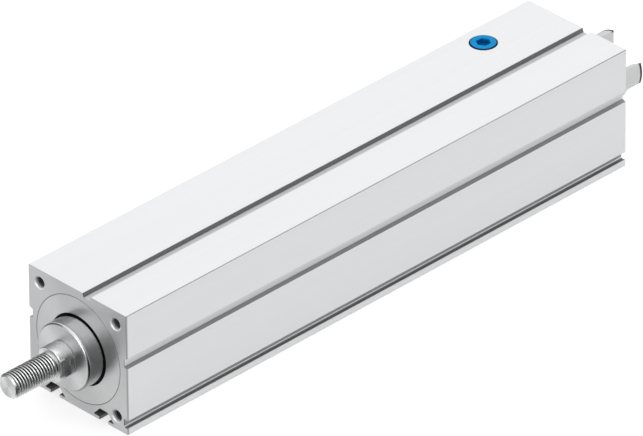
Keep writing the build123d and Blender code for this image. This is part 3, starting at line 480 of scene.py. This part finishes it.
def turned_metal(name, dark, light, metallic, rough, end_rough, line_scale=1500, edge=0.2, thread=False,
                 nose=False, joint_r=None):
    """Lathe-turned metal: fine rings about the rod's axis, duller ends, painted light and shade on the stud
    and the nose when asked, painted shade outside joint_r.
    """
    material, n, place, shader = start_material(name)
    normal = n.add("ShaderNodeNewGeometry").outputs["True Normal"]
    n_along = n.axes(n.absolute(normal), "X")[0]
    end_face = n.ramp(n_along, 0.96, 0.99)
    radius = axis_distance(n, place)
    section = n.add("ShaderNodeCombineXYZ", X=n.axes(place, "X")[0], Y=radius, Z=0.0).outputs[0]
    rings = n.noise(section, line_scale, 3, 0.7)
    smudge = n.noise(place, 90, 3, 0.55)
    shade = n.math("ADD", n.math("MULTIPLY", rings, 0.6), n.math("MULTIPLY", smudge, 0.4))
    colour = n.mix_colour(n.ramp(shade, 0.35, 0.65), dark, light)
    if thread:
        colour, diffuse = shade_thread(n, place, end_face, colour)
        metallic = n.math("SUBTRACT", metallic, diffuse)
    if nose:
        colour = shade_nose(n, place, n_along, end_face, colour)
    if joint_r:
        colour = n.mix_colour(n.ramp(radius, joint_r, joint_r + 0.1 * MM), colour, JOINT_SHADE_COLOUR)
    n.put(shader, "Base Color", colour)
    n.put(shader, "Metallic", metallic)
    dull = n.blend(end_face, rough, end_rough)
    n.put(shader, "Roughness", n.math("ADD", dull, n.ramp(rings, 0.3, 0.7, -0.04, 0.05)))
    n.put(shader, "Anisotropic", 0.8)
    n.put(shader, "Tangent", radial_tangent(n))
    bump(n, shader, rings, 0.12, 0.01 * MM, edge * MM)
    return material


def rubber():
    material, n, place, shader = start_material("black_rubber")
    grain = n.noise(place, 2500, 3)
    n.put(shader, "Base Color", n.mix_colour(grain, (0.002, 0.002, 0.002), (0.006, 0.006, 0.0065)))
    n.put(shader, "Roughness", n.ramp(grain, 0.3, 0.7, 0.42, 0.6))
    n.put(shader, "Specular IOR Level", 0.03)
    bump(n, shader, grain, 0.2, 0.02 * MM)
    return material


def moulded_plastic(name, dark, light, rough, edge=0.2):
    material, n, place, shader = start_material(name)
    grain = n.noise(place, 3500, 3)
    cloud = n.noise(place, 150, 2)
    n.put(shader, "Base Color", n.mix_colour(n.ramp(cloud, 0.35, 0.65), dark, light))
    n.put(shader, "Roughness", n.ramp(grain, 0.3, 0.7, rough - 0.05, rough + 0.07))
    bump(n, shader, grain, 0.15, 0.015 * MM, edge * MM)
    return material


def plug_plastic():
    """Blue screw plug: bright face, painted shade in its socket and on its rim down to the seat."""
    material, n, place, shader = start_material("plug_blue")
    low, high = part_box("port_plug")
    middle = [(a + b) / 2 for a, b in zip(low, high)]
    along, across, up = n.axes(n.vector("SUBTRACT", place, middle), "XYZ")
    radius = n.distance(along, across)
    grain = n.noise(place, 3500, 3)
    cloud = n.noise(place, 300, 2)
    colour = n.mix_colour(n.ramp(cloud, 0.35, 0.65), (0.001, 0.25, 0.56), (0.002, 0.29, 0.63))
    # Painted shade on the socket floor and on the rim down to the seat
    sunk = n.ramp(up, high[2] - middle[2] - 0.6 * MM, high[2] - middle[2] - 0.3 * MM, 1.0, 0.0)
    colour = n.mix_colour(n.both(sunk, n.math("LESS_THAN", radius, 4 * MM)), colour, (0.001, 0.13, 0.38))
    colour = n.mix_colour(n.ramp(radius, PLUG_FACE_R, PLUG_FACE_R + 0.1 * MM), colour, (0.001, 0.02, 0.09))
    n.put(shader, "Base Color", colour)
    n.put(shader, "Roughness", n.ramp(grain, 0.3, 0.7, 0.3, 0.42))
    n.put(shader, "Specular IOR Level", 0.05)
    bump(n, shader, grain, 0.15, 0.015 * MM, 0.1 * MM)
    return material


def bronze():
    material, n, place, shader = start_material("sintered_bronze")
    pores = n.add("ShaderNodeTexVoronoi", Vector=place, Scale=4000.0).outputs["Distance"]
    n.put(shader, "Base Color", n.mix_colour(n.ramp(pores, 0.1, 0.6), (0.32, 0.2, 0.1), (0.6, 0.42, 0.22)))
    n.put(shader, "Metallic", 0.8)
    n.put(shader, "Roughness", n.ramp(pores, 0.0, 0.6, 0.5, 0.34))
    bump(n, shader, pores, 0.2, 0.02 * MM, 0.1 * MM)
    return material


# Pieces

def new_piece(name, mesh, body, material):
    piece = bpy.data.objects.new(name, mesh)
    bpy.context.scene.collection.objects.link(piece)
    mesh.materials.clear()
    mesh.materials.append(material)
    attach(piece, body)
    return piece


def loft_rings(name, stations, segments):
    """Closed skin through rings about X. A station is (x, radius or function of angle)."""
    bm = bmesh.new()
    rings = []
    for x, radius in stations:
        ring = []
        for step in range(segments):
            angle = 2 * pi * step / segments
            r = radius(angle) if callable(radius) else radius
            ring.append(bm.verts.new((x, r * cos(angle), r * sin(angle))))
        rings.append(ring)
    for front, back in zip(rings, rings[1:]):
        for step in range(segments):
            after = (step + 1) % segments
            bm.faces.new((front[step], front[after], back[after], back[step]))
    bm.faces.new(list(reversed(rings[0])))
    bm.faces.new(rings[-1])
    bmesh.ops.recalc_face_normals(bm, faces=bm.faces)
    mesh = bpy.data.meshes.new(name)
    bm.to_mesh(mesh)
    bm.free()
    return mesh


def thread_profile(phase):
    """Depth share at a phase of one pitch: 0 on the crest, 1 in the root, 60 degree flanks."""
    crest, root = 0.14, 0.20
    phase = phase % 1.0
    if phase < crest:
        return 0.0
    flank = (1 - crest - root) / 2
    if phase < crest + flank:
        return (phase - crest) / flank
    if phase < crest + flank + root:
        return 1.0
    return 1.0 - (phase - crest - flank - root) / flank


def make_rod_end(material):
    """Shank, collar with two spanner flats, and a stud whose thread runs out at the collar."""
    flat_rear = COLLAR_FRONT_X - SPANNER_FLAT_LENGTH

    def collar(limit):
        def radius(angle):
            slant = abs(cos(angle))
            return min(limit, SPANNER_HALF_FLATS / slant) if slant > 1e-6 else limit
        return radius

    def thread(x):
        def radius(angle):
            turns = (x - COLLAR_FRONT_X) / THREAD_PITCH
            share = thread_profile(turns - angle / (2 * pi))
            fade = min(max(turns / THREAD_RUNOUT_TURNS, THREAD_LEAST_DEPTH), 1.0)
            r = THREAD_R - THREAD_DEPTH * share * fade ** THREAD_RUNOUT_POWER
            return min(r, THREAD_R - THREAD_TIP_CHAMFER + (STUD_TIP_X - x))
        return radius

    stations = [
        (SHANK_REAR_X, SHANK_R),
        (ROD_FACE_X, SHANK_R),
        (ROD_FACE_X, SPANNER_R - COLLAR_RELIEF),
        (ROD_FACE_X + COLLAR_RELIEF, SPANNER_R - COLLAR_RELIEF),
        (ROD_FACE_X + COLLAR_RELIEF, SPANNER_R),
        (flat_rear, SPANNER_R),
        (flat_rear, collar(SPANNER_R)),
        (COLLAR_FRONT_X - SPANNER_CHAMFER, collar(SPANNER_R)),
        (COLLAR_FRONT_X, collar(SPANNER_R - SPANNER_CHAMFER)),
        (COLLAR_FRONT_X, THREAD_R),
    ]
    steps = THREAD_STEPS * round((STUD_TIP_X - COLLAR_FRONT_X) / THREAD_PITCH)
    for step in range(steps + 1):
        x = COLLAR_FRONT_X + (STUD_TIP_X - COLLAR_FRONT_X) * step / steps
        stations.append((x, thread(x)))
    mesh = loft_rings("rod_end_threaded", stations, ROD_END_SEGMENTS)
    mesh.shade_smooth()
    mesh.set_sharp_from_angle(angle=SHARP_ANGLE)
    piece = new_piece("rod_end_threaded", mesh, "rod", material)
    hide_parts("rod_end")
    return piece


MATERIALS = {
    "housing": anodised_extrusion(),
    "cap_metal": turned_metal("cap_metal", (0.64, 0.645, 0.65), (0.71, 0.715, 0.72), 0.85, 0.30, 0.32,
                              joint_r=CAP_R - CAP_JOINT),
    "rod_steel": turned_metal("rod_steel", (0.70, 0.71, 0.715), (0.78, 0.785, 0.79), 1.0, 0.18, 0.36, 2500,
                              nose=True),
    "thread_steel": turned_metal("thread_steel", (0.80, 0.805, 0.81), (0.90, 0.905, 0.91), 1.0, 0.26, 0.34,
                                 1200, 0.1, thread=True),
    "bearing_steel": turned_metal("bearing_steel", (0.5, 0.505, 0.51), (0.62, 0.625, 0.63), 1.0, 0.22,
                                  0.30, 2500),
    "hub_metal": turned_metal("hub_metal", (0.70, 0.705, 0.71), (0.77, 0.775, 0.78), 0.6, 0.38, 0.38),
    "rubber": rubber(),
    "bush": bronze(),
    "pad": moulded_plastic("claw_pad", (0.03, 0.03, 0.032), (0.05, 0.05, 0.052), 0.5),
    "plug_blue": plug_plastic(),
    "slide_plastic": moulded_plastic("slide_plastic", (0.70, 0.67, 0.58), (0.78, 0.75, 0.66), 0.45),
    "magnet": moulded_plastic("bonded_magnet", (0.05, 0.048, 0.046), (0.11, 0.105, 0.1), 0.5),
    "insert": moulded_plastic("return_insert", (0.05, 0.05, 0.055), (0.09, 0.09, 0.095), 0.4),
}


def dress_nodes():
    """Give every node of the frame the material of its slot."""
    for subpart in frame["record"]["subparts"]:
        node = frame["nodes"][subpart["node"]]
        objects = node if isinstance(node, (list, tuple)) else [node]
        for item in objects:
            item.data.materials.clear()
            item.data.materials.append(MATERIALS[subpart["material_slot"]])


scene = bpy.context.scene
scene.view_settings.view_transform = "Standard"
make_camera()
make_world()
make_floor()
make_area("key", *KEY_LAMP)
side_lamp = make_area("side", *SIDE_LAMP)
side_lamp.visible_glossy = False
dress_nodes()
make_rod_end(MATERIALS["thread_steel"])
